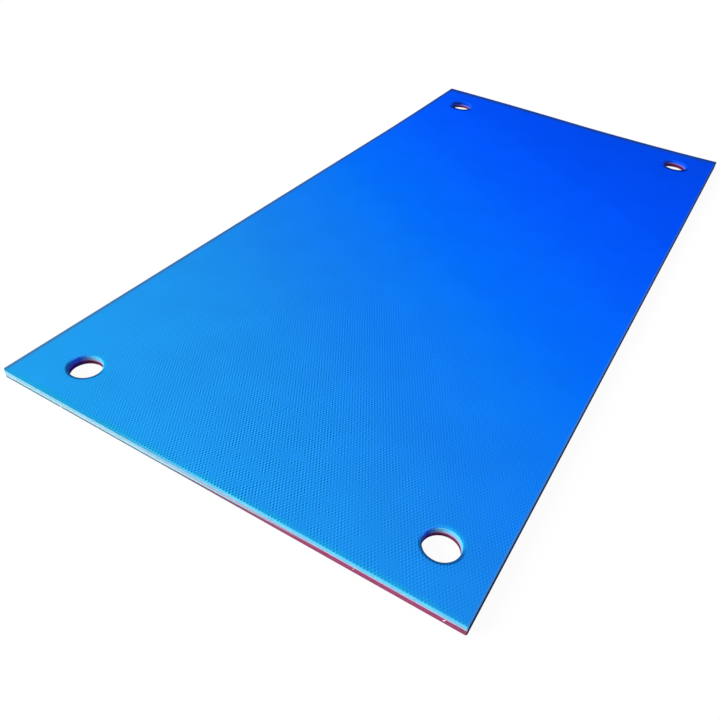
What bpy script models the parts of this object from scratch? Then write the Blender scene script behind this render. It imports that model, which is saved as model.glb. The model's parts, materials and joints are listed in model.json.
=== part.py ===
"""Pool float mat: a slab of three closed-cell polyethylene foam sheets, welded by heat over their
whole faces, with four round tether holes punched through it near the corners.

Metres, +Z up. The origin is at the bottom centre, X runs across the mat and Y along it. The end
at -Y is called near and the side at -X left. Run: blender --background --python part.py
"""

import math

import bmesh
import bpy
from mathutils import Vector

# Driving dimensions of the slab
MAT_WIDTH = 0.950
MAT_LENGTH = 1.950
CORNER_ROUND = 0.003

# The foam sheets, from the floor up, and the weld line between two of them
BOTTOM_SHEET_THICKNESS = 0.0107
MIDDLE_SHEET_THICKNESS = 0.0035
TOP_SHEET_THICKNESS = 0.0062
WELD_LINE = 0.0003

# Round-over that the knife leaves on the two faces of the slab
EDGE_ROUND = 0.0020

# The bores are punched straight through. The two at the far end are a little wider, and the punch
# draws the top skin of each into a soft lip.
NEAR_BORE_RADIUS = 0.0315
FAR_BORE_RADIUS = 0.0340
LIP_WIDTH = 0.0033
LIP_DEPTH = 0.0030
PUNCH_OVERRUN = 0.0030

# Hole centres, from the side edge and from the end edge. They are punched by hand, so each lies a
# little off the place that a template would give.
NEAR_LEFT_SIDE_INSET = 0.1175
NEAR_LEFT_END_INSET = 0.0890
NEAR_RIGHT_SIDE_INSET = 0.0930
NEAR_RIGHT_END_INSET = 0.1050
FAR_LEFT_SIDE_INSET = 0.0995
FAR_LEFT_END_INSET = 0.1320
FAR_RIGHT_SIDE_INSET = 0.1085
FAR_RIGHT_END_INSET = 0.1225

# Facets of the round stretches, the bevel profile that makes an arc, and the steepest turn that is
# still shaded smooth
HOLE_SIDES = 48
ROUND_STEPS = 2
LIP_STEPS = 3
ARC_PROFILE_SHARE = 0.5
SMOOTH_ANGLE = math.radians(40)

# The distance at which two points are one
SAME_POINT = 0.00001

# Base colour and roughness of each foam
RED_FOAM = {"name": "red_foam", "colour": (0.42, 0.02, 0.05), "roughness": 0.70}
WHITE_FOAM = {"name": "white_foam", "colour": (0.80, 0.82, 0.86), "roughness": 0.75}
BLUE_FOAM = {"name": "blue_foam", "colour": (0.005, 0.16, 0.80), "roughness": 0.60}

# Heights that follow from the sheets
MIDDLE_SHEET_LEVEL = BOTTOM_SHEET_THICKNESS + WELD_LINE
TOP_SHEET_LEVEL = MIDDLE_SHEET_LEVEL + MIDDLE_SHEET_THICKNESS + WELD_LINE
MAT_THICKNESS = TOP_SHEET_LEVEL + TOP_SHEET_THICKNESS

# Name of each hole with the radius of its bore and its centre
HOLES = {
    "near_left": (
        NEAR_BORE_RADIUS,
        (NEAR_LEFT_SIDE_INSET - MAT_WIDTH / 2, NEAR_LEFT_END_INSET - MAT_LENGTH / 2),
    ),
    "near_right": (
        NEAR_BORE_RADIUS,
        (MAT_WIDTH / 2 - NEAR_RIGHT_SIDE_INSET, NEAR_RIGHT_END_INSET - MAT_LENGTH / 2),
    ),
    "far_left": (
        FAR_BORE_RADIUS,
        (FAR_LEFT_SIDE_INSET - MAT_WIDTH / 2, MAT_LENGTH / 2 - FAR_LEFT_END_INSET),
    ),
    "far_right": (
        FAR_BORE_RADIUS,
        (MAT_WIDTH / 2 - FAR_RIGHT_SIDE_INSET, MAT_LENGTH / 2 - FAR_RIGHT_END_INSET),
    ),
}


def clear_scene():
    for obj in list(bpy.data.objects):
        bpy.data.objects.remove(obj, do_unlink=True)


def foam(name, colour, roughness):
    """Polyethylene foam in one solid colour, with a dull skin."""
    material = bpy.data.materials.new(name)
    material.use_nodes = True
    surface = material.node_tree.nodes["Principled BSDF"]
    surface.inputs["Base Color"].default_value = (*colour, 1)
    surface.inputs["Roughness"].default_value = roughness
    surface.inputs["Metallic"].default_value = 0
    return material


def object_from(name, bm):
    """An object that holds the finished bmesh, in the scene's own collection."""
    mesh = bpy.data.meshes.new(name)
    bm.to_mesh(mesh)
    bm.free()
    obj = bpy.data.objects.new(name, mesh)
    bpy.context.scene.collection.objects.link(obj)
    return obj


def edges_along_z(bm):
    return [e for e in bm.edges if abs(e.verts[0].co.z - e.verts[1].co.z) > SAME_POINT]


def rim_at(bm, level):
    return [e for e in bm.edges if all(abs(v.co.z - level) < SAME_POINT for v in e.verts)]


def sheet_blank(name, thickness, rounded_level=None):
    """One sheet cut to size, standing on its own origin. Where it is an outer sheet, the arris at
    rounded_level, its outer face, is rounded over."""
    bm = bmesh.new()
    bmesh.ops.create_cube(bm, size=1)
    bmesh.ops.scale(bm, vec=Vector((MAT_WIDTH, MAT_LENGTH, thickness)), verts=bm.verts)
    bmesh.ops.translate(bm, vec=Vector((0, 0, thickness / 2)), verts=bm.verts)
    bmesh.ops.bevel(
        bm,
        geom=edges_along_z(bm),
        offset=CORNER_ROUND,
        segments=ROUND_STEPS,
        profile=ARC_PROFILE_SHARE,
        affect="EDGES",
    )
    if rounded_level is not None:
        bmesh.ops.bevel(
            bm,
            geom=rim_at(bm, rounded_level),
            offset=EDGE_ROUND,
            segments=ROUND_STEPS,
            profile=ARC_PROFILE_SHARE,
            affect="EDGES",
        )
    bmesh.ops.recalc_face_normals(bm, faces=bm.faces)
    return object_from(name, bm)


def flare(radius, width, depth, level, outward, steps):
    """The punch's profile where it meets a face of the slab: a quarter of an ellipse that opens the
    bore from this radius by this width over this depth, its last chord run on past the face.
    Outward is 1 at the top and -1 at the bottom."""
    turn = math.pi / 2 / steps
    arc = [
        Vector((
            radius + width * (1 - math.cos(step * turn)),
            0,
            level + outward * depth * (math.sin(step * turn) - 1),
        ))
        for step in range(steps + 1)
    ]
    chord = arc[-1] - arc[-2]
    arc[-1] = arc[-2] + chord * ((PUNCH_OVERRUN + abs(chord.z)) / abs(chord.z))
    return arc


def punch(name, radius, centre):
    """The turned cutter of one hole, which is hidden and cuts all three sheets."""
    bottom = flare(radius, EDGE_ROUND, EDGE_ROUND, 0, -1, ROUND_STEPS)
    top = flare(radius, LIP_WIDTH, LIP_DEPTH, MAT_THICKNESS, 1, LIP_STEPS)
    outline = [*reversed(bottom), *top]
    profile = [Vector((0, 0, outline[0].z)), *outline, Vector((0, 0, outline[-1].z))]
    bm = bmesh.new()
    points = [bm.verts.new(point) for point in profile]
    line = [bm.edges.new(pair) for pair in zip(points, points[1:])]
    bmesh.ops.spin(
        bm,
        geom=points + line,
        cent=Vector((0, 0, 0)),
        axis=Vector((0, 0, 1)),
        angle=math.tau,
        steps=HOLE_SIDES,
    )
    bmesh.ops.remove_doubles(bm, verts=bm.verts, dist=SAME_POINT)
    bmesh.ops.recalc_face_normals(bm, faces=bm.faces)
    cutter = object_from(name, bm)
    cutter.location = (*centre, 0)
    cutter.hide_render = True
    cutter.display_type = "WIRE"
    return cutter


def punch_through(sheet, cutters):
    for cutter in cutters:
        hole = sheet.modifiers.new(cutter.name, "BOOLEAN")
        hole.operation = "DIFFERENCE"
        hole.solver = "EXACT"
        hole.object = cutter


def finish(sheet, level, material, parent):
    sheet.location.z = level
    sheet.parent = parent
    sheet.data.materials.append(material)
    sheet.data.shade_smooth()
    sheet.data.set_sharp_from_angle(angle=SMOOTH_ANGLE)


def build():
    clear_scene()
    mat = bpy.data.objects.new("float_mat", None)
    bpy.context.scene.collection.objects.link(mat)
    cutters = [punch(f"punch_{name}", radius, centre) for name, (radius, centre) in HOLES.items()]
    for cutter in cutters:
        cutter.parent = mat

    bottom = sheet_blank("bottom_sheet", BOTTOM_SHEET_THICKNESS, rounded_level=0)
    middle = sheet_blank("middle_sheet", MIDDLE_SHEET_THICKNESS)
    top = sheet_blank("top_sheet", TOP_SHEET_THICKNESS, rounded_level=TOP_SHEET_THICKNESS)
    punch_through(bottom, cutters)
    punch_through(middle, cutters)
    punch_through(top, cutters)
    finish(bottom, 0, foam(**RED_FOAM), mat)
    finish(middle, MIDDLE_SHEET_LEVEL, foam(**WHITE_FOAM), mat)
    finish(top, TOP_SHEET_LEVEL, foam(**BLUE_FOAM), mat)


build()
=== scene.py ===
"""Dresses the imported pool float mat: embossed skins, cut foam edges, a pale floor and soft light.

The slab is three sheets of closed-cell polyethylene foam. Each one is cut here at the size and place that
the frame gives, and punched within a centimetre of the frame's holes. The two outer ones are embossed, and
all three follow the slight curl of the far corners.
"""

import json
import math
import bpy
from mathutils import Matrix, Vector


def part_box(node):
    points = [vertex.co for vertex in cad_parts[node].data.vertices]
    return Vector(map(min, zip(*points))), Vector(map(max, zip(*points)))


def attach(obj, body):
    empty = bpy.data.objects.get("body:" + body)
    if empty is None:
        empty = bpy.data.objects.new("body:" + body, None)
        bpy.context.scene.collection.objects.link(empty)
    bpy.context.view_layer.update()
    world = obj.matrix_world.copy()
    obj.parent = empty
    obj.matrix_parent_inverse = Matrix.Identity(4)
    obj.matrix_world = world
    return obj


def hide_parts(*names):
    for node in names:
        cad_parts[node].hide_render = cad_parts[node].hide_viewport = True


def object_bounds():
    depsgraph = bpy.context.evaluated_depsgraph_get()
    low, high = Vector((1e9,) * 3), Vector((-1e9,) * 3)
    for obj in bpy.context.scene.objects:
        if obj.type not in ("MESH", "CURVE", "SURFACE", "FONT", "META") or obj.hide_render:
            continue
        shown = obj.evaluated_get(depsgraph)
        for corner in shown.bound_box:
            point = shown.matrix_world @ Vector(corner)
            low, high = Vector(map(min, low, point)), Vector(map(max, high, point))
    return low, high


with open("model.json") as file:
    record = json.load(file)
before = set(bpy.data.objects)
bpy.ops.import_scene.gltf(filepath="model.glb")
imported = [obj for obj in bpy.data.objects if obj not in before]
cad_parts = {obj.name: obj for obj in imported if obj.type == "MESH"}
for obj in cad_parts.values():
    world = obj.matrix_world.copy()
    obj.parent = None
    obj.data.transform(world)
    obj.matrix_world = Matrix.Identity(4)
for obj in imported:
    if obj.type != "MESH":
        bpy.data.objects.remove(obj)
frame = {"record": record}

from types import SimpleNamespace

import bmesh
import bpy
import numpy as np
from mathutils import Matrix, Vector

bl_info = {
    "name": "Pool float mat",
    "version": (1, 0, 0),
    "blender": (4, 5, 0),
    "location": "3D View > Sidebar > Float mat",
    "description": "Builds a laminated foam float mat with tether holes, and a stage to show it on",
    "category": "Add Mesh",
}

CAD_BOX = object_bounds()

# Levels and outline of the slab, from the frame. The sheets meet in the middle of each weld line.
LOW, HIGH = CAD_BOX
WIDTH = HIGH[0] - LOW[0]
LENGTH = HIGH[1] - LOW[1]
LOWER_WELD = (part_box("bottom_sheet")[1][2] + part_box("middle_sheet")[0][2]) / 2
UPPER_WELD = (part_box("middle_sheet")[1][2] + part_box("top_sheet")[0][2]) / 2

# How far each hole of the photographed mat is off the frame's, across and along
PUNCH_DRIFT = {
    "tether_hole_near_left": (-0.0022, 0.0018),
    "tether_hole_near_right": (-0.0004, 0.0019),
    "tether_hole_far_left": (0, 0.0060),
    "tether_hole_far_right": (0, 0.0085),
}


def hole_centre(opening):
    """The middle of a tether hole, from the space that the record keeps open in it."""
    drift = PUNCH_DRIFT[opening["name"]]
    return tuple((low + high) / 2 + off for low, high, off in zip(*opening["box_m"], drift))


HOLE_CENTRES = [hole_centre(opening) for opening in frame["record"]["physics"]["openings"]]

# How finely round and bending stretches are drawn
HOLE_SIDES = 96
ROUND_STEPS = 3
LIP_STEPS = 6
BEND_SPACING = 0.05

# How far a cutter reaches past a face, and how far it reaches past one before it widens
CUTTER_OVERRUN = 0.008
PUNCH_SKIM = 0.00005

# The distance at which two levels are one, the steepest turn that is shaded smooth, the turn from which an
# edge is a rim, and the share of an upright normal below which a face is a wall
SAME_LEVEL = 0.00001
SMOOTH_ANGLE = math.radians(40)
RIM_ANGLE = math.radians(60)
SKIN_SHARE = 0.55

# The emboss stands in staggered rows, so that each dot has six like neighbours. The plate that presses it
# is this thick, and the sheet for it is cut this much too thick.
ROW_SHARE = math.sqrt(3) / 2
PLATE_THICKNESS = 0.004
PLATE_SKIM = 0.0001

# How far the two curled corners reach across the slab, how gently the left one's curl begins, and how
# slowly both rise along the slab
LEFT_CURL_SHARE = 0.56
RIGHT_CURL_SHARE = 0.72
CURL_EASE = 0.1
CURL_RISE_POWER = 1.5

# Nicks in the near edge of the red sheet: place across, lowest and highest level, slant and half width
NICKS = (
    (0.4385, 0.0055, 0.0110, math.radians(35), 0.0010),
    (0.2860, 0.0060, 0.0104, math.radians(25), 0.0010),
    (-0.3300, -0.0010, 0.0045, math.radians(30), 0.0018),
)
NICK_DEPTH = 0.003

# What tells a nick's flanks: how far in from the wall their middles lie at least, how far beside the nick
# at most, and the share of an upright normal above which a face is the sheet's own skin
NICK_WALL = 0.0002
NICK_MARGIN = 0.003
NICK_SKIN_SHARE = 0.9

# How the blue turns along the slab: 0 at the near left corner, 1 at the far right one. The paler azure
# towards the near left is painted light.
BLUE_RAMP_ACROSS_SHARE = 0.33
BLUE_STOPS = (
    (0.00, "#22A1F0"),
    (0.26, "#1A88EC"),
    (0.45, "#0872F8"),
    (0.60, "#0460FC"),
    (0.75, "#0251F7"),
    (1.00, "#0246E4"),
)

# A skin carries painted lines along its cuts: the width of that line at the near and at the far end, the
# share of it that has the full tint, and how strong that is
CUT_LINE_WIDTHS = 0.0070, 0.0100
CUT_LINE_CORE_SHARE = 0.35
CUT_LINE_SHARE = 0.75

# The axis and place of each such edge, how many times narrower its line is, and its colour at the near and
# at the far end: a darker line along the left edge, a painted highlight and a line of painted shade along
# the right one, and painted shade along the far one
PAINTED_EDGE_LINES = (
    ("x", LOW[0], 0.62, "#466E96", "#1A4070"),
    ("x", HIGH[0], 1.4, "#4884C8", "#28508C"),
    ("x", HIGH[0], 4.5, "#0A2E6C", "#1C3470"),
    ("y", HIGH[1], 0.28, "#1A4070", "#1A4070"),
)

# Painted light and shade round the holes: a highlight where the rim faces the light, painted shade in a
# deeper blue on the left and darker shade on the near side, darkest at the far holes. For each: the side
# that it lies on, the cosine of the turn from it where the tint has faded out and where it is full, how far
# outside the rim it has faded out and where it is full, and its share and its colour at the near and at the
# far end
HOLE_RIM_LIGHT_AND_SHADE = (
    ((0.26, 0.97, 0), (0.2, 0.7), (0.0055, -0.001), (0.7, 0.7), ("#1CB0E2", "#0C58F0")),
    ((-0.94, 0.34, 0), (0.5, 0.9), (0.0020, 0.0), (0.7, 0.7), ("#3088FF", "#1040D0")),
    ((0.20, -0.98, 0), (-0.3, 0.3), (0.0037, 0.0013), (0.9, 0.0), ("#124C82", "#124C82")),
    ((0.20, -0.98, 0), (0.3, 0.8), (0.013, 0.006), (0.0, 1.0), ("#041060", "#041060")),
)

# The painted light along the near edge, how far from the edge it is full and where it has faded out, and the
# painted highlight on the arris, its width, and the shares of the slab's width where it starts and where it
# is full
NEAR_EDGE_PAINTED_LIGHT = "#1AA4DC"
NEAR_GLOW_REACH = 0.002, 0.014
NEAR_ARRIS_HIGHLIGHT = "#5CC8F0"
NEAR_ARRIS_WIDTH = 0.0032
NEAR_ARRIS_ACROSS = 0.25, 0.5

# Patches in a finish: their size, how many finer scales they mix in and the values that most of them keep
# between, and then what they make of that
GLOW_PATCHES = 0.03, 1.0, (0.35, 0.65)
GLOW_SHARES = 0.35, 0.95
DOT_SHADING_PATCHES = 0.013, 1.0, (0.35, 0.65)
DOT_SHADING_SHARES = 0.2, 1.6
MOTTLE_PATCHES = 0.09, 3.0, (0.3, 0.7)
SKIN_TONES = 0.97, 1.03
SKIN_ROUGHNESSES = 0.55, 0.65
DRAG_PATCHES = 0.007, 2.0, (0.3, 0.7)
DRAG_TONES = 0.80, 1.20

# The painted shade and highlight of the dots show most at the near end: how strongly they show there and
# far off, between which shares of the length that fades, and how it varies with the share of the width
EMBOSS_CONTRASTS = 0.52, 0.06
EMBOSS_FADE_ALONG = 0.12, 0.42
DOT_SHADING_ACROSS = (0, 0.05), (0.15, 0.4), (0.35, 0.75), (0.52, 1.0), (0.75, 0.6), (1, 0.3)

# Fine grain of a skin, as coarse as it has to be to show
GRAIN_SIZE = 0.0012
GRAIN_HEIGHT = 0.0001
GRAIN_STRENGTH = 0.15

# Open cells of a cut, as coarse as they have to be to show, how far from its middle a cell is palest, and
# how dark and how pale they make the foam
CELL_SIZE = 0.0009
CELL_DEPTH = 0.0002
CELL_STRENGTH = 0.5
CELL_REACH = 0.0, 0.6
CELL_TONES = 0.9, 1.05

# The blade dragged the foam along the cut, which flattens its marks this many times in height
DRAG_FLATTENING = 6

# A cut darkens towards the two faces of its sheet, over this height and down to this share
FACE_SHADE_HEIGHT = 0.0016
FACE_SHADE_SHARE = 0.75

# How dull cut and torn foam are
CUT_ROUGHNESS = 0.9
TORN_ROUGHNESS = 0.95
FOAM_SPECULAR_SHARE = 0.05

# What tells the walls apart. Near and right: the normal's Y or X where a tint has faded out and where it is
# full. Outer and bore: the same, by how far outside a hole's rim the wall lies.
NEAR_WALL = -0.5, -0.8
RIGHT_WALL = 0.5, 0.8
OUTER_WALL = 0.003, 0.005
BORE_WALL = 0.005, 0.003

# Painted light on the cut foam where the near wall pales towards its left end, and painted shade on the
# right wall, which the light misses
PAINTED_LIGHT_CUTS = {"blue": "#7AD8F0", "white": "#9CD6EC", "red": "#A0D6EA"}
SHADED_CUTS = {"blue": "#0E2C64", "white": "#182448", "red": "#200C24"}

# Shares of the slab's width where the near wall's painted light has faded out and where it is full
PALE_ACROSS = 0.70, 0.12

# On the red sheet that painted light lies above a level that rises between two shares of the slab's width,
# with this fade from below it to above it, and painted shade greys what is under it
BLOOM_ACROSS = 0.40, 0.75
BLOOM_LEVELS = 0.0042, 0.0110
BLOOM_FADE = -0.0005, 0.0010
NEAR_SHADE = "#4A606E"
NEAR_SHADE_ACROSS = 0.68, 0.35

# Towards the left end the skin's blue drapes over the top of the near wall, above these levels
NEAR_DRAPE = "#1C84B4"
NEAR_DRAPE_ACROSS = 0.60, 0.30
NEAR_DRAPE_LEVELS = 0.0162, 0.0176

# Towards the right end the knife drew each colour this far up over the sheet above it, with this fade to
# either side of that level
UNDER = {"blue": "white", "white": "red"}
DRAWN_UP = 0.0012
DRAWN_UP_FADE = 0.0003
DRAWN_UP_ACROSS = 0.30, 0.55

# Painted light and shade up the wall of a bore, by level: where the light falls on it, where it doesn't, and
# at the far end, where less light reaches
BORE_COLOURS = {
    "lit": (
        (0, "#7A3454"),
        (0.0082, "#6C2C4C"),
        (0.0100, "#B8B4DC"),
        (0.0118, "#B4C8EC"),
        (0.0135, "#74CCFA"),
    ),
    "painted_shade": (
        (0, "#3E1C84"),
        (0.0082, "#3E1C84"),
        (0.0105, "#3048D8"),
        (0.0135, "#2A62FF"),
    ),
    "far": (
        (0, "#5A2648"),
        (0.0100, "#5A2648"),
        (0.0118, "#8078C8"),
        (0.0142, "#7478D8"),
        (0.0158, "#0C54F4"),
    ),
}

# Which way the lit walls look, the cosines of the turn from it where the painted shade starts and where it
# is full, and the shares of the length where the far end's colours do
OPEN_SIDE = (-math.sqrt(0.5), -math.sqrt(0.5), 0)
PAINTED_SHADE_SIDE = 0.2, -0.4
FAR_ALONG = 0.5, 0.9

# Torn foam, from the middle of a cell outwards
TORN_STOPS = (0, "#E9C9D8"), (1, "#F6E8F0")

# The floor and the key light
WHITE = "#FFFFFF"
FLOOR_SIDE = 60
FLOOR_DROP = 0.0005
FLOOR_LIFT_SHARE = 0.94
FLOOR_BOUNCE = "#A0A0A0"
SUN_SPREAD = math.radians(24)

# Where the photograph was taken from: the camera's place, its angles and its focal length in pixels
CAMERA_PLACE = Vector((0.56229, -1.55536, 0.94351))
CAMERA_AZIMUTH = 0.475539
CAMERA_ELEVATION = 0.690169
CAMERA_ROLL = 0.099237
PHOTO_SIDE_PX = 720
FOCAL_LENGTH_PX = 729.55
SENSOR_WIDTH_MM = 36


def linear(hex_colour):
    """An sRGB hex colour as a linear RGBA tuple."""
    values = [int(hex_colour[i : i + 2], 16) / 255 for i in (1, 3, 5)]
    bent = [v / 12.92 if v <= 0.04045 else ((v + 0.055) / 1.055) ** 2.4 for v in values]
    return (*bent, 1.0)


class FloatMatSizes(bpy.types.PropertyGroup):
    """Sizes of the mat's finish, which a maker may set by themselves."""

    near_bore: bpy.props.FloatProperty(
        name="Near bore",
        description="Radius of the two tether holes at the near end",
        default=0.0315,
        unit="LENGTH",
    )
    far_bore: bpy.props.FloatProperty(
        name="Far bore",
        description="Radius of the two tether holes at the far end",
        default=0.034,
        unit="LENGTH",
    )
    lip_width: bpy.props.FloatProperty(
        name="Lip width",
        description="Width of the rim where the top skin is drawn in",
        default=0.0033,
        unit="LENGTH",
    )
    lip_depth: bpy.props.FloatProperty(
        name="Lip depth",
        description="How deep the top skin is drawn into a hole",
        default=0.003,
        unit="LENGTH",
    )
    corner_round: bpy.props.FloatProperty(
        name="Corner round",
        description="Radius of the slab's four corners in plan",
        default=0.003,
        unit="LENGTH",
    )
    edge_round: bpy.props.FloatProperty(
        name="Edge round",
        description="Round-over of the outer arrises",
        default=0.002,
        unit="LENGTH",
    )
    weld_groove: bpy.props.FloatProperty(
        name="Weld groove",
        description="Depth of the fine groove where two sheets meet",
        default=0.0002,
        unit="LENGTH",
    )
    emboss_pitch: bpy.props.FloatProperty(
        name="Emboss pitch",
        description="Distance between two dots of one row",
        default=0.006,
        unit="LENGTH",
    )
    emboss_depth: bpy.props.FloatProperty(
        name="Emboss depth",
        description="Height of a dot over the skin round it",
        default=0.0005,
        unit="LENGTH",
    )
    curl_start_share: bpy.props.FloatProperty(
        name="Curl start",
        description="Share of the length after which the far end lifts",
        default=0.74,
    )
    left_curl: bpy.props.FloatProperty(
        name="Left curl",
        description="Lift of the far left corner",
        default=0.0068,
        unit="LENGTH",
    )
    right_curl: bpy.props.FloatProperty(
        name="Right curl",
        description="Lift of the far right corner",
        default=0.0034,
        unit="LENGTH",
    )


class FloatMatColours(bpy.types.PropertyGroup):
    """Colours of the cut foam and of the underside."""

    blue_cut: bpy.props.FloatVectorProperty(
        name="Blue cut",
        description="Cut blue foam",
        default=linear("#5FC6EE"),
        size=4,
        subtype="COLOR",
    )
    white_cut: bpy.props.FloatVectorProperty(
        name="White cut",
        description="Cut white foam",
        default=linear("#B6C0DC"),
        size=4,
        subtype="COLOR",
    )
    red_cut: bpy.props.FloatVectorProperty(
        name="Red cut",
        description="Cut red foam",
        default=linear("#97466C"),
        size=4,
        subtype="COLOR",
    )
    red_skin: bpy.props.FloatVectorProperty(
        name="Red skin",
        description="Embossed skin of the underside",
        default=linear("#C4183A"),
        size=4,
        subtype="COLOR",
    )


class FloatMatStage(bpy.types.PropertyGroup):
    """Light that the mat is shown in."""

    key_elevation: bpy.props.FloatProperty(
        name="Key elevation",
        description="Height of the soft key light",
        default=math.radians(26),
        subtype="ANGLE",
    )
    key_azimuth: bpy.props.FloatProperty(
        name="Key azimuth",
        description="Side that the key comes from, turned from -Y to -X",
        default=math.radians(45),
        subtype="ANGLE",
    )
    key_level_share: bpy.props.FloatProperty(
        name="Key level",
        description="Share of the light on the mat's face that the key gives",
        default=0.5,
    )
    fill_level_share: bpy.props.FloatProperty(
        name="Fill level",
        description="Share of the light on the mat's face that the sky gives",
        default=0.5,
    )


def select_in_edit_mode(obj, faces=None, edges=None):
    """Selects only the faces or edges that the given test accepts, in the mesh that is being edited."""
    bpy.ops.mesh.select_all(action="DESELECT")
    bpy.ops.mesh.select_mode(type="FACE" if faces else "EDGE")
    bm = bmesh.from_edit_mesh(obj.data)
    test = faces or edges
    for item in bm.faces if faces else bm.edges:
        item.select_set(bool(test(item)))
    bm.select_flush_mode()
    bmesh.update_edit_mesh(obj.data)


def only(obj):
    """Makes obj the one selected and active object."""
    bpy.ops.object.select_all(action="DESELECT")
    obj.select_set(True)
    bpy.context.view_layer.objects.active = obj


def cut_away(obj, cutter):
    """Cuts obj with the cutter, which is then dropped."""
    only(obj)
    modifier = obj.modifiers.new(cutter.name, "BOOLEAN")
    modifier.object = cutter
    modifier.operation = "DIFFERENCE"
    modifier.solver = "EXACT"
    bpy.ops.object.modifier_apply(modifier=modifier.name)
    bpy.data.objects.remove(cutter, do_unlink=True)


def apply_place(obj):
    """Puts the object's place into its mesh."""
    only(obj)
    bpy.ops.object.transform_apply(location=True, rotation=True, scale=True)


def rim_edge(edge, level):
    """True for an edge at this level between a flat face and a wall."""
    return all(abs(v.co.z - level) < SAME_LEVEL for v in edge.verts) and edge.calc_face_angle(0) > RIM_ANGLE


def bore_radius(centre):
    """Radius of the bore at this centre."""
    sizes = bpy.context.scene.float_mat_sizes
    return sizes.near_bore if centre[1] < 0 else sizes.far_bore


def bore_outline(radius):
    """Level and radius of a bore's wall from the underside up: rounded mouth, straight wall and lip."""
    sizes = bpy.context.scene.float_mat_sizes
    turns = [math.pi / 2 * step / LIP_STEPS for step in range(LIP_STEPS + 1)]
    mouth = [
        (LOW[2] + sizes.edge_round * (1 - math.sin(turn)), radius + sizes.edge_round * (1 - math.cos(turn)))
        for turn in reversed(turns)
    ]
    lip = [
        (HIGH[2] - sizes.lip_depth * (1 - math.sin(turn)), radius + sizes.lip_width * (1 - math.cos(turn)))
        for turn in turns
    ]
    return mouth + lip


def punch(centre, low, high):
    """The turned tool that cuts the hole of one sheet, and bites a fine groove where the sheet meets
    another."""
    outline = bore_outline(bore_radius(centre))
    levels, radii = zip(*outline)
    rings, bites = [], []
    for level, inward in ((low, 1), (high, -1)):
        bite = bpy.context.scene.float_mat_sizes.weld_groove if LOW[2] < level < HIGH[2] else 0.0
        radius = float(np.interp(level, levels, radii))
        bites.append(level + inward * bite)
        if bite:
            rings.append((level + inward * bite, radius))
        rings += [(level - inward * reach, radius + bite) for reach in (PUNCH_SKIM, CUTTER_OVERRUN)]
    rings += [(level, radius) for level, radius in outline if bites[0] < level < bites[1]]
    rings.sort()
    (foot, radius), (level, _), *others = rings
    bpy.ops.mesh.primitive_cylinder_add(
        vertices=HOLE_SIDES, radius=radius, depth=level - foot, location=(*centre, (foot + level) / 2)
    )
    tool = bpy.context.object
    apply_place(tool)
    bpy.ops.object.mode_set(mode="EDIT")
    select_in_edit_mode(tool, faces=lambda f: all(abs(v.co.z - level) < SAME_LEVEL for v in f.verts))
    for next_level, next_radius in others:
        bpy.ops.mesh.extrude_region_move(TRANSFORM_OT_translate={"value": (0, 0, next_level - level)})
        share = next_radius / radius
        bpy.ops.transform.resize(value=(share, share, 1), center_override=(*centre, next_level))
        level, radius = next_level, next_radius
    bpy.ops.object.mode_set(mode="OBJECT")
    return tool


def divide_for_bend():
    """Cuts the edited mesh at even steps both ways, so that its faces and walls can follow the curl."""
    for axis, side in ((0, WIDTH), (1, LENGTH)):
        normal = Vector((axis == 0, axis == 1, 0))
        count = round(side / BEND_SPACING)
        for step in range(1, count):
            bpy.ops.mesh.select_all(action="SELECT")
            place = Vector((0, 0, 0))
            place[axis] = side * (step / count - 0.5)
            bpy.ops.mesh.bisect(plane_co=place, plane_no=normal, threshold=SAME_LEVEL)


def cut_sheet(name, rounds):
    """A sheet of foam cut to size and punched. rounds gives its lower and its upper level, each with the
    round-over there."""
    (low, _), (high, _) = rounds
    middle, thickness = (low + high) / 2, high - low
    bpy.ops.mesh.primitive_cube_add(size=1, location=(0, 0, middle), scale=(WIDTH, LENGTH, thickness))
    sheet = bpy.context.object
    sheet.name = sheet.data.name = name
    apply_place(sheet)
    bpy.ops.object.mode_set(mode="EDIT")
    select_in_edit_mode(sheet, edges=lambda e: abs(e.verts[0].co.z - e.verts[1].co.z) > SAME_LEVEL)
    bpy.ops.mesh.bevel(offset=bpy.context.scene.float_mat_sizes.corner_round, segments=ROUND_STEPS)
    for level, edge_round in rounds:
        select_in_edit_mode(sheet, edges=lambda e: rim_edge(e, level))
        bpy.ops.mesh.bevel(offset=edge_round, segments=ROUND_STEPS)
    divide_for_bend()
    bpy.ops.object.mode_set(mode="OBJECT")
    for centre in HOLE_CENTRES:
        cut_away(sheet, punch(centre, low, high))
    if max(abs(v.co.z - middle) for v in sheet.data.vertices) > thickness / 2 + SAME_LEVEL:
        raise RuntimeError(f"a punch left a plug in {name}")
    return sheet


def nick(sheet, across, low, high, slant, half_width):
    """Cuts a small slanting V into the near wall."""
    bpy.ops.mesh.primitive_cylinder_add(
        vertices=4,
        radius=NICK_DEPTH,
        depth=(high - low) / math.cos(slant),
        location=(across, LOW[1], (low + high) / 2),
        rotation=(0, slant, 0),
        scale=(half_width / NICK_DEPTH, 1, 1),
    )
    cutter = bpy.context.object
    apply_place(cutter)
    cut_away(sheet, cutter)


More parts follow.
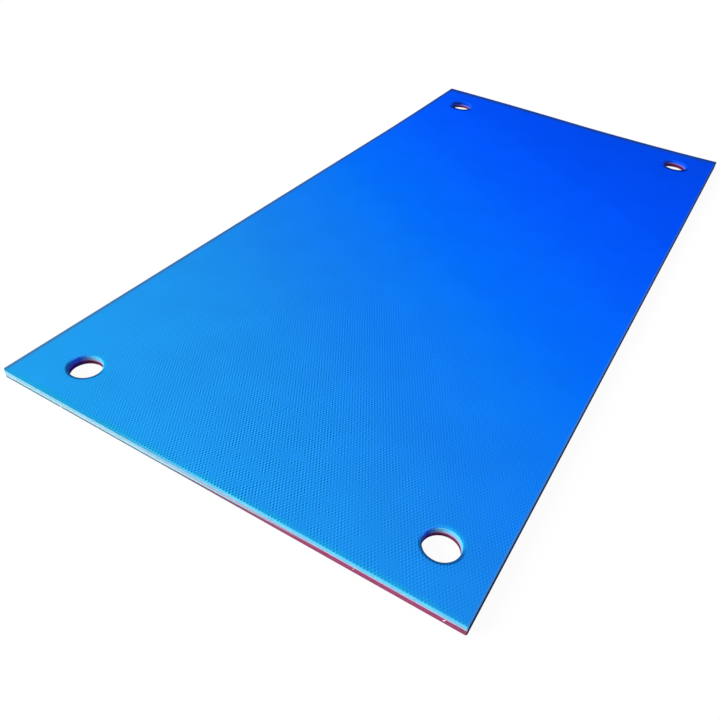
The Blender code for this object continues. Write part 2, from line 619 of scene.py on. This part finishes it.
def embossing_plate(level, outward):
    """The plate that presses the dots. Its pits face the sheet's skin at this level, and outward is 1 for
    the top skin and -1 for the underside. A grid turned by 45 degrees gives staggered rows, and poking each
    of its faces gives a pit."""
    sizes = bpy.context.scene.float_mat_sizes
    pitch, depth = sizes.emboss_pitch, sizes.emboss_depth
    row = pitch * ROW_SHARE
    half_width, half_length = WIDTH / 2 + CUTTER_OVERRUN, LENGTH / 2 + CUTTER_OVERRUN
    count = 2 * math.ceil(half_width / pitch + half_length / (2 * row))
    bpy.ops.mesh.primitive_grid_add(x_subdivisions=count, y_subdivisions=count, size=count)
    plate = bpy.context.object
    plate.name = "embossing_plate"
    bpy.ops.object.mode_set(mode="EDIT")
    bpy.ops.transform.rotate(value=math.pi / 4, orient_axis="Z", center_override=(0, 0, 0))
    bpy.ops.transform.resize(value=(pitch / math.sqrt(2), row * math.sqrt(2), 1), center_override=(0, 0, 0))

    def outside(face):
        centre = face.calc_center_median()
        return abs(centre.x) > half_width or abs(centre.y) > half_length

    select_in_edit_mode(plate, faces=outside)
    bpy.ops.mesh.delete(type="FACE")
    bpy.ops.mesh.select_all(action="SELECT")
    bpy.ops.mesh.poke(offset=depth)
    bpy.ops.mesh.select_mode(type="EDGE")
    bpy.ops.mesh.select_all(action="DESELECT")
    bpy.ops.mesh.select_non_manifold()
    bpy.ops.mesh.extrude_edges_move(TRANSFORM_OT_translate={"value": (0, 0, PLATE_THICKNESS)})
    bpy.ops.mesh.edge_face_add()
    bpy.ops.mesh.select_all(action="SELECT")
    if outward < 0:
        bpy.ops.transform.resize(value=(1, 1, -1), center_override=(0, 0, 0))
    bpy.ops.transform.translate(value=(0, 0, level - outward * depth))
    bpy.ops.mesh.normals_make_consistent(inside=False)
    bpy.ops.object.mode_set(mode="OBJECT")
    return plate


def curl(sheet):
    """Lifts the two far corners as the slab lies after storage on a roll, most at the corner itself."""
    sizes = bpy.context.scene.float_mat_sizes
    mesh = sheet.data
    points = np.empty(len(mesh.vertices) * 3, np.float32)
    mesh.vertices.foreach_get("co", points)
    points = points.reshape(-1, 3)
    across = (points[:, 0] - LOW[0]) / WIDTH
    along = (points[:, 1] - LOW[1]) / LENGTH
    start = sizes.curl_start_share
    rise = np.clip((along - start) / (1 - start), 0, None) ** CURL_RISE_POWER
    reach = 1 - across / LEFT_CURL_SHARE
    reach = (reach + np.hypot(reach, CURL_EASE)) / 2
    left = reach * (2 - reach)
    right = np.clip((across - RIGHT_CURL_SHARE) / (1 - RIGHT_CURL_SHARE), 0, None) ** 2
    points[:, 2] += rise * (sizes.left_curl * left + sizes.right_curl * right)
    mesh.vertices.foreach_set("co", points.ravel())
    mesh.update()


def dress(sheet, skin, cut):
    """Skin on the faces that look up or down, cut foam on the walls, and smooth shading."""
    sheet.data.materials.clear()
    for material in (skin, cut):
        sheet.data.materials.append(material)
    for polygon in sheet.data.polygons:
        polygon.material_index = int(abs(polygon.normal.z) < SKIN_SHARE)
    only(sheet)
    bpy.ops.object.shade_smooth_by_angle(angle=SMOOTH_ANGLE)


def tear_nicks(sheet):
    """Gives the flanks of the nicks the torn finish."""
    sheet.data.materials.append(torn_foam())
    torn = len(sheet.data.materials) - 1
    for polygon in sheet.data.polygons:
        x, y, _ = polygon.center
        if not LOW[1] + NICK_WALL < y < LOW[1] + NICK_DEPTH or abs(polygon.normal.z) > NICK_SKIN_SHARE:
            continue
        if any(abs(x - across) < 2 * half_width + NICK_MARGIN for across, *_, half_width in NICKS):
            polygon.material_index = torn


def hand_over(sheet, node):
    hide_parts(node)
    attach(sheet, "root")


def add(tree, kind, inputs=(), **settings):
    """One node with its settings. inputs pairs a socket's name or number with a value, or with the socket
    that feeds it."""
    node = tree.nodes.new(kind)
    for name, value in settings.items():
        setattr(node, name, value)
    for key, value in dict(inputs).items():
        if isinstance(value, bpy.types.NodeSocket):
            tree.links.new(value, node.inputs[key])
        else:
            node.inputs[key].default_value = value
    return node


def new_material(name):
    """An empty node material and its tree."""
    material = bpy.data.materials.new(name)
    material.use_nodes = True
    material.node_tree.nodes.clear()
    return material, material.node_tree


def spot_on_slab(tree):
    """Where a point of the slab lies: its place, X, Y and Z, and its shares of the width and the length."""
    place = add(tree, "ShaderNodeTexCoord").outputs["Object"]
    x, y, z = add(tree, "ShaderNodeSeparateXYZ", {0: place}).outputs
    across = add(tree, "ShaderNodeMapRange", {0: x, 1: LOW[0], 2: HIGH[0]}).outputs[0]
    along = add(tree, "ShaderNodeMapRange", {0: y, 1: LOW[1], 2: HIGH[1]}).outputs[0]
    return SimpleNamespace(place=place, x=x, y=y, z=z, across=across, along=along)


def painted(tree, colour, tint, *marks, strength=1.0):
    """The colour with a tint laid over it at this strength. Each mark is a value, with the level where the
    tint has faded out and the level where it is full."""
    for value, (faded, full) in marks:
        strength = add(tree, "ShaderNodeMapRange", {0: value, 1: faded, 2: full, 4: strength}).outputs[0]
    return add(tree, "ShaderNodeMix", {0: strength, 6: colour, 7: tint}, data_type="RGBA").outputs[2]


def patches(tree, place, size, detail, span, results):
    """Soft patches of this size, which turn the span of their values into the span of results."""
    noise = add(tree, "ShaderNodeTexNoise", {"Vector": place, "Scale": 1 / size, "Detail": detail})
    levels = enumerate((noise.outputs[0], *span, *results))
    return add(tree, "ShaderNodeMapRange", levels).outputs[0]


def set_stops(color_ramp, stops):
    """Puts the colours of the stops on a new colour ramp, which comes with two."""
    for position, _ in stops[2:]:
        color_ramp.elements.new(position)
    for element, (position, colour) in zip(color_ramp.elements, stops):
        element.position = position
        element.color = linear(colour)


def nearest_hole(tree, place):
    """How far outside the nearest hole's rim a point lies, and its direction from that hole's middle."""
    flat = add(tree, "ShaderNodeVectorMath", {0: place, 1: (1, 1, 0)}, operation="MULTIPLY").outputs[0]
    outside = away = None
    for centre in HOLE_CENTRES:
        middle = (*centre, 0)
        rim = bore_radius(centre) + bpy.context.scene.float_mat_sizes.lip_width
        offset = add(tree, "ShaderNodeVectorMath", {0: flat, 1: middle}, operation="SUBTRACT").outputs[0]
        length = add(tree, "ShaderNodeVectorMath", {0: offset}, operation="LENGTH").outputs["Value"]
        beyond = add(tree, "ShaderNodeMath", {0: length, 1: rim}, operation="SUBTRACT").outputs[0]
        if outside is None:
            outside, away = beyond, offset
            continue
        closer = add(tree, "ShaderNodeMath", {0: beyond, 1: outside}, operation="LESS_THAN").outputs[0]
        away = add(tree, "ShaderNodeMix", {0: closer, 4: away, 5: offset}, data_type="VECTOR").outputs[1]
        outside = add(tree, "ShaderNodeMath", {0: beyond, 1: outside}, operation="MINIMUM").outputs[0]
    direction = add(tree, "ShaderNodeVectorMath", {0: away}, operation="NORMALIZE").outputs[0]
    return outside, direction


def paint_edge_lines(tree, spot, colour):
    """Tints the skin along its edges: painted shade along the far and right edges, a painted highlight on
    the right arris, and a darker line along the left edge.
    """
    for axis, edge, narrower, near_tint, far_tint in PAINTED_EDGE_LINES:
        near_width, far_width = (width / narrower for width in CUT_LINE_WIDTHS)
        width = add(tree, "ShaderNodeMapRange", {0: spot.along, 3: near_width, 4: far_width}).outputs[0]
        off = add(tree, "ShaderNodeMath", {0: getattr(spot, axis), 1: edge}, operation="SUBTRACT").outputs[0]
        off = add(tree, "ShaderNodeMath", {0: off}, operation="ABSOLUTE").outputs[0]
        off = add(tree, "ShaderNodeMath", {0: off, 1: width}, operation="DIVIDE").outputs[0]
        fade = {0: off, 1: CUT_LINE_CORE_SHARE, 2: 1.0, 3: CUT_LINE_SHARE, 4: 0.0}
        close = add(tree, "ShaderNodeMapRange", fade, interpolation_type="SMOOTHSTEP").outputs[0]
        tint = painted(tree, linear(near_tint), linear(far_tint), strength=spot.along)
        colour = painted(tree, colour, tint, strength=close)
    return colour


def paint_hole_rim_light(tree, spot, colour):
    """Paints light and shade on the skin round the holes: highlights where a rim faces the light, shade
    where it turns away.
    """
    outside, direction = nearest_hole(tree, spot.place)
    for side, cosines, distances, (near_share, far_share), (near_tint, far_tint) in HOLE_RIM_LIGHT_AND_SHADE:
        turn = add(tree, "ShaderNodeVectorMath", {0: direction, 1: side}, operation="DOT_PRODUCT")
        marks = (turn.outputs["Value"], cosines), (outside, distances)
        share = add(tree, "ShaderNodeMapRange", {0: spot.along, 3: near_share, 4: far_share}).outputs[0]
        tint = painted(tree, linear(near_tint), linear(far_tint), strength=spot.along)
        colour = painted(tree, colour, tint, *marks, strength=share)
    return colour


def paint_near_edge_light(tree, spot, colour):
    """Painted light in patches along the near edge, and a painted highlight on its arris."""
    from_near = add(tree, "ShaderNodeMath", {0: spot.y, 1: LOW[1]}, operation="SUBTRACT").outputs[0]
    patchy = patches(tree, spot.place, *GLOW_PATCHES, GLOW_SHARES)
    fade = enumerate((from_near, *NEAR_GLOW_REACH, patchy, 0.0))
    glow = add(tree, "ShaderNodeMapRange", fade, interpolation_type="SMOOTHSTEP").outputs[0]
    colour = painted(tree, colour, linear(NEAR_EDGE_PAINTED_LIGHT), strength=glow)
    arris = (from_near, (NEAR_ARRIS_WIDTH, 0)), (spot.across, NEAR_ARRIS_ACROSS)
    return painted(tree, colour, linear(NEAR_ARRIS_HIGHLIGHT), *arris)


def emboss_painted_shading(tree, spot):
    """Paints a highlight on each dot and shade in the hollows round it, in step with the pressed dots. The
    painted shading is strongest in the near middle, and its strength varies in patches."""
    pitch = bpy.context.scene.float_mat_sizes.emboss_pitch
    depth = add(tree, "ShaderNodeFloatCurve", {1: spot.across})
    curve = depth.mapping.curves[0]
    for point in DOT_SHADING_ACROSS[1:-1]:
        curve.points.new(*point)
    for point, location in zip(curve.points, DOT_SHADING_ACROSS):
        point.location = location
    hollow = depth.outputs[0]
    fade = enumerate((spot.along, *EMBOSS_FADE_ALONG, *EMBOSS_CONTRASTS))
    shares = [
        add(tree, "ShaderNodeMapRange", fade).outputs[0],
        patches(tree, spot.place, *DOT_SHADING_PATCHES, DOT_SHADING_SHARES),
    ]
    for value, turn in ((spot.x, 2 * math.pi / pitch), (spot.y, math.pi / pitch / ROW_SHARE)):
        angle = add(tree, "ShaderNodeMath", {0: value, 1: turn}, operation="MULTIPLY").outputs[0]
        shares.append(add(tree, "ShaderNodeMath", {0: angle}, operation="COSINE").outputs[0])
    for share in shares:
        hollow = add(tree, "ShaderNodeMath", {0: hollow, 1: share}, operation="MULTIPLY").outputs[0]
    return add(tree, "ShaderNodeMath", {0: 1.0, 1: hollow}, operation="SUBTRACT").outputs[0]


def finish_skin(tree, spot, colour):
    """What both skins share: painted lines at the cuts, mostly shade and highlight, soft mottling, and
    painted shade and highlight on the dots.
    """
    colour = paint_edge_lines(tree, spot, colour)
    mottle = patches(tree, spot.place, *MOTTLE_PATCHES, SKIN_TONES)
    level = add(tree, "ShaderNodeMath", {0: mottle, 1: emboss_painted_shading(tree, spot)}, operation="MULTIPLY")
    toned = add(tree, "ShaderNodeVectorMath", {0: colour, "Scale": level.outputs[0]}, operation="SCALE")
    rough = patches(tree, spot.place, *MOTTLE_PATCHES, SKIN_ROUGHNESSES)
    grain = add(tree, "ShaderNodeTexNoise", {"Vector": spot.place, "Scale": 1 / GRAIN_SIZE})
    relief = {"Strength": GRAIN_STRENGTH, "Distance": GRAIN_HEIGHT, "Height": grain.outputs[0]}
    bump = add(tree, "ShaderNodeBump", relief)
    looks = {"Base Color": toned.outputs[0], "Roughness": rough, "Normal": bump.outputs[0]}
    surface = add(tree, "ShaderNodeBsdfPrincipled", {**looks, "Specular IOR Level": 0.0})
    add(tree, "ShaderNodeOutputMaterial", {0: surface.outputs[0]})


def blue_skin():
    """Calendered and embossed polyethylene foam skin in royal blue. Its dots scatter the gloss, so it shows
    as dull. Painted light pales it to azure towards the near left."""
    material, tree = new_material("blue embossed foam skin")
    spot = spot_on_slab(tree)
    across = BLUE_RAMP_ACROSS_SHARE
    slope = (across / WIDTH / (1 + across), 1 / LENGTH / (1 + across), 0)
    turn = add(tree, "ShaderNodeVectorMath", {0: spot.place, 1: slope}, operation="DOT_PRODUCT")
    turn = add(tree, "ShaderNodeMath", {0: turn.outputs["Value"], 1: 0.5}, operation="ADD").outputs[0]
    # The ramp carries painted light, palest towards the near left
    ramp = add(tree, "ShaderNodeValToRGB", {0: turn})
    ramp.color_ramp.interpolation = "CARDINAL"
    set_stops(ramp.color_ramp, BLUE_STOPS)
    colour = paint_near_edge_light(tree, spot, ramp.outputs[0])
    finish_skin(tree, spot, paint_hole_rim_light(tree, spot, colour))
    return material


def red_skin():
    """The same foam skin on the underside, in crimson."""
    material, tree = new_material("red embossed foam skin")
    finish_skin(tree, spot_on_slab(tree), bpy.context.scene.float_mat_colours.red_skin)
    return material


def near_wall_colour(tree, spot, layer, low, near):
    """Colour of a sheet's cut. On the near wall, which the near marks tell, painted light pales it towards
    the left end, over painted shade at the red sheet's foot there, and towards the right end the knife drew
    the colour below up over its foot."""
    colours = bpy.context.scene.float_mat_colours
    colour = getattr(colours, f"{layer}_cut")
    # The pale tint is painted light, and on the red sheet the grey under it is painted shade
    pale = spot.across, PALE_ACROSS
    if layer == "red":
        colour = painted(tree, colour, linear(NEAR_SHADE), (spot.across, NEAR_SHADE_ACROSS), *near)
        bloom = add(tree, "ShaderNodeMapRange", enumerate((spot.across, *BLOOM_ACROSS, *BLOOM_LEVELS)))
        above = add(tree, "ShaderNodeMath", {0: spot.z, 1: bloom.outputs[0]}, operation="SUBTRACT")
        pale = above.outputs[0], BLOOM_FADE
    colour = painted(tree, colour, linear(PAINTED_LIGHT_CUTS[layer]), pale, *near)
    if layer == "blue":
        drape = (spot.across, NEAR_DRAPE_ACROSS), (spot.z, NEAR_DRAPE_LEVELS)
        colour = painted(tree, colour, linear(NEAR_DRAPE), *drape, *near)
    if layer in UNDER:
        levels = low + DRAWN_UP + DRAWN_UP_FADE, low + DRAWN_UP - DRAWN_UP_FADE
        drawn = (spot.across, DRAWN_UP_ACROSS), (spot.z, levels)
        colour = painted(tree, colour, getattr(colours, f"{UNDER[layer]}_cut"), *drawn, *near)
    return colour


def bore_wall_colour(tree, spot, normal):
    """Colour of a bore's wall, painted with light and shade: lit colours on the side that the light falls
    on, painted shade in blues and purples over all three sheets on the side that it misses, and darker
    colours in the far bores."""
    height = add(tree, "ShaderNodeMath", {0: spot.z, 1: HIGH[2]}, operation="DIVIDE").outputs[0]
    walls = {}
    for kind, stops in BORE_COLOURS.items():
        ramp = add(tree, "ShaderNodeValToRGB", {0: height})
        set_stops(ramp.color_ramp, [(level / HIGH[2], colour) for level, colour in stops])
        walls[kind] = ramp.outputs[0]
    facing = add(tree, "ShaderNodeVectorMath", {0: normal, 1: OPEN_SIDE}, operation="DOT_PRODUCT")
    # Lit colours, darker in the far bores, and painted shade where the wall turns from the light
    colour = painted(tree, walls["lit"], walls["far"], (spot.along, FAR_ALONG))
    return painted(tree, colour, walls["painted_shade"], (facing.outputs["Value"], PAINTED_SHADE_SIDE))


def cut_foam(name, layer, low, high):
    """Closed-cell foam cut with a knife: dull and paler than its skin, pricked by open cells and marked
    along the cut by the blade's drag."""
    material, tree = new_material(name)
    spot = spot_on_slab(tree)
    normal = add(tree, "ShaderNodeNewGeometry").outputs["Normal"]
    looks_x, looks_y, _ = add(tree, "ShaderNodeSeparateXYZ", {0: normal}).outputs
    outside, _ = nearest_hole(tree, spot.place)
    # Painted light and shade on the walls: a pale near wall, a shaded right wall, and lit and shaded bores
    colour = near_wall_colour(tree, spot, layer, low, ((looks_y, NEAR_WALL), (outside, OUTER_WALL)))
    colour = painted(tree, colour, linear(SHADED_CUTS[layer]), (looks_x, RIGHT_WALL))
    colour = painted(tree, colour, bore_wall_colour(tree, spot, normal), (outside, BORE_WALL))
    finish_cut(tree, spot, colour, low, high)
    return material


def finish_cut(tree, spot, colour, low, high):
    """What all cuts share: the open cells, the drag of the blade, and the shade towards both faces."""
    cells = add(tree, "ShaderNodeTexVoronoi", {"Vector": spot.place, "Scale": 1 / CELL_SIZE})
    depth = cells.outputs["Distance"]
    level = add(tree, "ShaderNodeMapRange", enumerate((depth, *CELL_REACH, *CELL_TONES))).outputs[0]
    flattening = (1, 1, DRAG_FLATTENING)
    flattened = add(tree, "ShaderNodeVectorMath", {0: spot.place, 1: flattening}, operation="MULTIPLY")
    drag = patches(tree, flattened.outputs[0], *DRAG_PATCHES, DRAG_TONES)
    middle, half = (low + high) / 2, (high - low) / 2
    off = add(tree, "ShaderNodeMath", {0: spot.z, 1: middle}, operation="SUBTRACT").outputs[0]
    off = add(tree, "ShaderNodeMath", {0: off}, operation="ABSOLUTE").outputs[0]
    fade = enumerate((off, half - FACE_SHADE_HEIGHT, half, 1.0, FACE_SHADE_SHARE))
    for share in (drag, add(tree, "ShaderNodeMapRange", fade).outputs[0]):
        level = add(tree, "ShaderNodeMath", {0: level, 1: share}, operation="MULTIPLY").outputs[0]
    toned = add(tree, "ShaderNodeVectorMath", {0: colour, "Scale": level}, operation="SCALE")
    bump = add(tree, "ShaderNodeBump", {"Strength": CELL_STRENGTH, "Distance": CELL_DEPTH, "Height": depth})
    looks = {"Base Color": toned.outputs[0], "Roughness": CUT_ROUGHNESS, "Normal": bump.outputs[0]}
    looks["Specular IOR Level"] = FOAM_SPECULAR_SHARE
    surface = add(tree, "ShaderNodeBsdfPrincipled", looks)
    add(tree, "ShaderNodeOutputMaterial", {0: surface.outputs[0]})


def torn_foam():
    """Foam torn open at a nick: pale, because light scatters in the burst cells."""
    material, tree = new_material("torn foam")
    place = add(tree, "ShaderNodeTexCoord").outputs["Object"]
    cells = add(tree, "ShaderNodeTexVoronoi", {"Vector": place, "Scale": 1 / CELL_SIZE})
    ramp = add(tree, "ShaderNodeValToRGB", {0: cells.outputs["Distance"]})
    set_stops(ramp.color_ramp, TORN_STOPS)
    looks = {"Base Color": ramp.outputs[0], "Roughness": TORN_ROUGHNESS}
    looks["Specular IOR Level"] = FOAM_SPECULAR_SHARE
    surface = add(tree, "ShaderNodeBsdfPrincipled", looks)
    add(tree, "ShaderNodeOutputMaterial", {0: surface.outputs[0]})
    return material


def seen_ray(tree):
    """1 for a ray that shows the background: from the camera, a reflection or through something clear."""
    path = add(tree, "ShaderNodeLightPath")
    seen = path.outputs["Is Camera Ray"]
    for kind in ("Is Glossy Ray", "Is Transmission Ray"):
        seen = add(tree, "ShaderNodeMath", {0: seen, 1: path.outputs[kind]}, operation="MAXIMUM").outputs[0]
    return seen


def floor_paint():
    """Matt white paper, which keeps the mat's shadow. It bounces less light than it shows."""
    material, tree = new_material("white paper floor")
    seen = seen_ray(tree)
    colour = painted(tree, linear(FLOOR_BOUNCE), linear(WHITE), strength=seen)
    paper = add(tree, "ShaderNodeBsdfDiffuse", {"Color": colour})
    lift = add(tree, "ShaderNodeMath", {0: seen, 1: FLOOR_LIFT_SHARE}, operation="MULTIPLY")
    white = add(tree, "ShaderNodeEmission", {"Color": linear(WHITE), "Strength": 1.0})
    both = add(tree, "ShaderNodeMixShader", {0: lift.outputs[0], 1: paper.outputs[0], 2: white.outputs[0]})
    add(tree, "ShaderNodeOutputMaterial", {0: both.outputs[0]})
    return material


class FLOATMAT_OT_bottom_sheet(bpy.types.Operator):
    """Cuts, punches and embosses the red bottom sheet"""

    bl_idname = "float_mat.bottom_sheet"
    bl_label = "Bottom sheet"

    def execute(self, context):
        sizes = context.scene.float_mat_sizes
        low = LOW[2]
        rounds = (low - PLATE_SKIM, sizes.edge_round), (LOWER_WELD, sizes.weld_groove)
        sheet = cut_sheet("bottom_foam", rounds)
        for place in NICKS:
            nick(sheet, *place)
        cut_away(sheet, embossing_plate(low, -1))
        curl(sheet)
        dress(sheet, red_skin(), cut_foam("red cut foam", "red", low, LOWER_WELD))
        tear_nicks(sheet)
        hand_over(sheet, "bottom_sheet")
        return {"FINISHED"}


class FLOATMAT_OT_middle_sheet(bpy.types.Operator):
    """Cuts and punches the thin white middle sheet"""

    bl_idname = "float_mat.middle_sheet"
    bl_label = "Middle sheet"

    def execute(self, context):
        groove = context.scene.float_mat_sizes.weld_groove
        sheet = cut_sheet("middle_foam", [(level, groove) for level in (LOWER_WELD, UPPER_WELD)])
        curl(sheet)
        white = cut_foam("white cut foam", "white", LOWER_WELD, UPPER_WELD)
        dress(sheet, white, white)
        hand_over(sheet, "middle_sheet")
        return {"FINISHED"}


class FLOATMAT_OT_top_sheet(bpy.types.Operator):
    """Cuts, punches and embosses the blue top sheet"""

    bl_idname = "float_mat.top_sheet"
    bl_label = "Top sheet"

    def execute(self, context):
        sizes = context.scene.float_mat_sizes
        high = HIGH[2]
        rounds = (UPPER_WELD, sizes.weld_groove), (high + PLATE_SKIM, sizes.edge_round)
        sheet = cut_sheet("top_foam", rounds)
        cut_away(sheet, embossing_plate(high, 1))
        curl(sheet)
        dress(sheet, blue_skin(), cut_foam("blue cut foam", "blue", UPPER_WELD, high))
        hand_over(sheet, "top_sheet")
        return {"FINISHED"}


class FLOATMAT_OT_stage(bpy.types.Operator):
    """Adds the floor, the light and the camera"""

    bl_idname = "float_mat.stage"
    bl_label = "Stage"

    def execute(self, context):
        stage = context.scene.float_mat_stage
        bpy.ops.object.select_all(action="DESELECT")
        bpy.ops.mesh.primitive_plane_add(size=FLOOR_SIDE, location=(0, 0, LOW[2] - FLOOR_DROP))
        floor = context.object
        floor.name = "floor"
        floor.data.materials.append(floor_paint())

        world = bpy.data.worlds.new("studio")
        context.scene.world = world
        world.use_nodes = True
        tree = world.node_tree
        tree.nodes.clear()
        strength = add(tree, "ShaderNodeMapRange", {0: seen_ray(tree), 3: stage.fill_level_share, 4: 1.0})
        sky = {"Color": linear(WHITE), "Strength": strength.outputs[0]}
        background = add(tree, "ShaderNodeBackground", sky)
        add(tree, "ShaderNodeOutputWorld", {0: background.outputs[0]})

        toward = Vector((
            -math.sin(stage.key_azimuth) * math.cos(stage.key_elevation),
            -math.cos(stage.key_azimuth) * math.cos(stage.key_elevation),
            math.sin(stage.key_elevation),
        ))
        bpy.ops.object.light_add(type="SUN", rotation=toward.to_track_quat("Z", "Y").to_euler())
        key = context.object
        key.name = "key"
        key.data.energy = stage.key_level_share * math.pi / math.sin(stage.key_elevation)
        key.data.angle = SUN_SPREAD

        bpy.ops.object.camera_add()
        camera = context.object
        ahead = Vector((
            -math.sin(CAMERA_AZIMUTH) * math.cos(CAMERA_ELEVATION),
            math.cos(CAMERA_AZIMUTH) * math.cos(CAMERA_ELEVATION),
            -math.sin(CAMERA_ELEVATION),
        ))
        upright = Matrix.Translation(CAMERA_PLACE) @ ahead.to_track_quat("-Z", "Y").to_matrix().to_4x4()
        camera.matrix_world = upright @ Matrix.Rotation(CAMERA_ROLL, 4, "Z")
        camera.data.sensor_width = SENSOR_WIDTH_MM
        camera.data.lens = FOCAL_LENGTH_PX / PHOTO_SIDE_PX * SENSOR_WIDTH_MM
        context.scene.camera = camera
        context.scene.view_settings.view_transform = "Standard"
        return {"FINISHED"}


class VIEW3D_PT_float_mat(bpy.types.Panel):
    """Lists the mat's sizes and colours, and a button for each sheet and for the stage"""

    bl_label = "Float mat"
    bl_space_type = "VIEW_3D"
    bl_region_type = "UI"
    bl_category = "Float mat"

    def draw(self, context):
        for operator in OPERATORS:
            self.layout.operator(operator.bl_idname)
        for name, group in GROUPS.items():
            for prop in group.__annotations__:
                self.layout.prop(getattr(context.scene, name), prop)


OPERATORS = (FLOATMAT_OT_stage, FLOATMAT_OT_bottom_sheet, FLOATMAT_OT_middle_sheet, FLOATMAT_OT_top_sheet)
GROUPS = {
    "float_mat_sizes": FloatMatSizes,
    "float_mat_colours": FloatMatColours,
    "float_mat_stage": FloatMatStage,
}


def register():
    for cls in (*GROUPS.values(), *OPERATORS, VIEW3D_PT_float_mat):
        bpy.utils.register_class(cls)
    for name, group in GROUPS.items():
        setattr(bpy.types.Scene, name, bpy.props.PointerProperty(type=group))


def unregister():
    for name in GROUPS:
        delattr(bpy.types.Scene, name)
    for cls in (VIEW3D_PT_float_mat, *reversed(OPERATORS), *reversed(GROUPS.values())):
        bpy.utils.unregister_class(cls)


def main():
    register()
    bpy.ops.float_mat.stage()
    bpy.ops.float_mat.bottom_sheet()
    bpy.ops.float_mat.middle_sheet()
    bpy.ops.float_mat.top_sheet()


if __name__ == "__main__":
    main()
